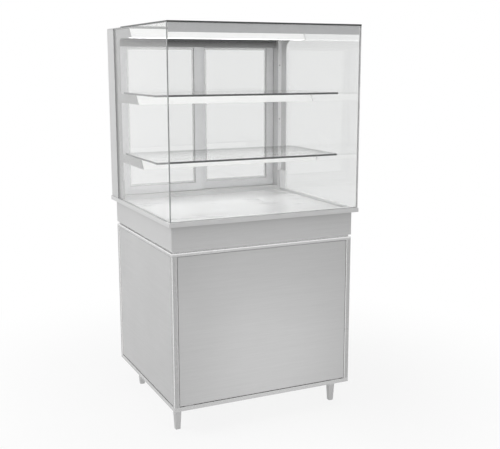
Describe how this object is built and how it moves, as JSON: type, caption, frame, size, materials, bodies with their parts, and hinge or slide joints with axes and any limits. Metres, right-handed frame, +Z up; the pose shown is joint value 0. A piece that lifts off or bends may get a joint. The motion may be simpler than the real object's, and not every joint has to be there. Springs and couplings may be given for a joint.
{
  "type": "refrigerated display case",
  "caption": "Free-standing refrigerated display case: square glass box with glass shelves and rear sliding doors on a steel cabinet with short tapered legs.",
  "frame": {"origin": "on the floor under the middle of the worktop", "axes": "+Z up, +X to the customer's right, front pane towards -Y, sliding doors towards +Y"},
  "size_m": [0.86, 0.806, 1.666],
  "materials": {
    "brushed_stainless": "fine brushed stainless steel sheet",
    "foam": "rigid foam",
    "aluminium": "satin anodised extrusion and plain fins",
    "fan_plastic": "moulded plastic",
    "black_enamel": "satin black enamel",
    "galvanised": "plain galvanised sheet",
    "copper": "drawn copper tube",
    "black_plastic": "satin moulded plastic",
    "grey_plastic": "moulded plastic",
    "clear_glass": "clear float glass with polished edges",
    "lamp_white": "white powder coat",
    "diffuser": "opal plastic",
    "roller_plastic": "plain acetal plastic"
  },
  "bodies": {
    "cabinet": {"corner_posts": "brushed_stainless", "upper_frame": "brushed_stainless", "base_tray": "brushed_stainless", "front_panel": "brushed_stainless", "left_side_panel": "brushed_stainless", "right_side_panel": "brushed_stainless", "rear_panel": "brushed_stainless", "service_door_pivots": "brushed_stainless", "legs": "brushed_stainless", "apron": "brushed_stainless", "worktop": "brushed_stainless", "deck_plate": "brushed_stainless", "well_liner": "brushed_stainless", "well_insulation": "foam", "evaporator": "aluminium", "evaporator_fan_panel": "brushed_stainless", "evaporator_fan_motors": "black_enamel", "drain_pan": "brushed_stainless", "compressor": "black_enamel", "condenser": "aluminium", "condenser_fan_shroud": "galvanised", "condenser_fan_motor": "black_enamel", "refrigerant_lines": "copper", "control_fascia": "brushed_stainless", "controller": "black_plastic", "switch_housings": "black_plastic", "cable_gland": "black_plastic", "front_glass": "clear_glass", "left_side_glass": "clear_glass", "right_side_glass": "clear_glass", "top_glass": "clear_glass", "top_front_profile": "aluminium", "door_jambs": "brushed_stainless", "door_header": "brushed_stainless", "door_sill": "brushed_stainless", "top_cover": "brushed_stainless", "left_bracket": "brushed_stainless", "right_bracket": "brushed_stainless", "upper_shelf": "clear_glass", "lower_shelf": "clear_glass", "lamp_housings": "lamp_white", "lamp_diffusers": "diffuser"},
    "left_door": {"left_door_frame": "aluminium", "left_door_glass": "clear_glass"},
    "right_door": {"right_door_frame": "aluminium", "right_door_glass": "clear_glass"},
    "left_door_roller_left": {"left_door_roller_left": "roller_plastic"},
    "left_door_roller_right": {"left_door_roller_right": "roller_plastic"},
    "right_door_roller_left": {"right_door_roller_left": "roller_plastic"},
    "right_door_roller_right": {"right_door_roller_right": "roller_plastic"},
    "condenser_fan": {"condenser_fan": "fan_plastic"},
    "evaporator_fan_left": {"evaporator_fan_left": "fan_plastic"},
    "evaporator_fan_right": {"evaporator_fan_right": "fan_plastic"},
    "service_door": {"service_door": "brushed_stainless", "service_door_handle": "brushed_stainless"},
    "set_button": {"set_button": "grey_plastic"},
    "up_button": {"up_button": "grey_plastic"},
    "down_button": {"down_button": "grey_plastic"},
    "main_switch_rocker": {"main_switch_rocker": "black_plastic"},
    "light_switch_rocker": {"light_switch_rocker": "black_plastic"}
  },
  "joints": [
    {"name": "left_door_slide", "type": "slide", "parent": "cabinet", "child": "left_door", "axis": [1, 0, 0], "range_m": [0, 0.385]},
    {"name": "right_door_slide", "type": "slide", "parent": "cabinet", "child": "right_door", "axis": [-1, 0, 0], "range_m": [0, 0.385]},
    {"name": "left_door_roller_left_spin", "type": "hinge", "parent": "left_door", "child": "left_door_roller_left", "pos_m": [-0.335, 0.336, 0.9133], "axis": [0, 1, 0], "range_deg": [0, 2210]},
    {"name": "left_door_roller_right_spin", "type": "hinge", "parent": "left_door", "child": "left_door_roller_right", "pos_m": [-0.055, 0.336, 0.9133], "axis": [0, 1, 0], "range_deg": [0, 2210]},
    {"name": "right_door_roller_left_spin", "type": "hinge", "parent": "right_door", "child": "right_door_roller_left", "pos_m": [0.055, 0.358, 0.9133], "axis": [0, -1, 0], "range_deg": [0, 2210]},
    {"name": "right_door_roller_right_spin", "type": "hinge", "parent": "right_door", "child": "right_door_roller_right", "pos_m": [0.335, 0.358, 0.9133], "axis": [0, -1, 0], "range_deg": [0, 2210]},
    {"name": "condenser_fan_spin", "type": "hinge", "parent": "cabinet", "child": "condenser_fan", "pos_m": [0.12, 0.267, 0.27], "axis": [0, 1, 0], "continuous": true},
    {"name": "evaporator_fan_left_spin", "type": "hinge", "parent": "cabinet", "child": "evaporator_fan_left", "pos_m": [-0.15, -0.01925, 0.80625], "axis": [0, 1, 0], "continuous": true},
    {"name": "evaporator_fan_right_spin", "type": "hinge", "parent": "cabinet", "child": "evaporator_fan_right", "pos_m": [0.15, -0.01925, 0.80625], "axis": [0, 1, 0], "continuous": true},
    {"name": "service_door_hinge", "type": "hinge", "parent": "cabinet", "child": "service_door", "pos_m": [0.378, 0.366, 0.443], "axis": [0, 0, -1], "range_deg": [0, 105]},
    {"name": "set_button_press", "type": "slide", "parent": "cabinet", "child": "set_button", "axis": [0, -1, 0], "range_m": [0, 0.001], "stiffness_N_per_m": 300, "springref_m": -0.0005},
    {"name": "up_button_press", "type": "slide", "parent": "cabinet", "child": "up_button", "axis": [0, -1, 0], "range_m": [0, 0.001], "stiffness_N_per_m": 300, "springref_m": -0.0005},
    {"name": "down_button_press", "type": "slide", "parent": "cabinet", "child": "down_button", "axis": [0, -1, 0], "range_m": [0, 0.001], "stiffness_N_per_m": 300, "springref_m": -0.0005},
    {"name": "light_switch_rocker_tip", "type": "hinge", "parent": "cabinet", "child": "light_switch_rocker", "pos_m": [-0.12, 0.372, 0.831], "axis": [1, 0, 0], "range_deg": [0, 14]},
    {"name": "main_switch_rocker_tip", "type": "hinge", "parent": "cabinet", "child": "main_switch_rocker", "pos_m": [-0.086, 0.372, 0.831], "axis": [1, 0, 0], "range_deg": [0, 14]}
  ],
  "couplings": [
    {"joint": "left_door_roller_left_spin", "follows": "left_door_slide", "rad_per_m": 100},
    {"joint": "left_door_roller_right_spin", "follows": "left_door_slide", "rad_per_m": 100},
    {"joint": "right_door_roller_left_spin", "follows": "right_door_slide", "rad_per_m": 100},
    {"joint": "right_door_roller_right_spin", "follows": "right_door_slide", "rad_per_m": 100}
  ]
}
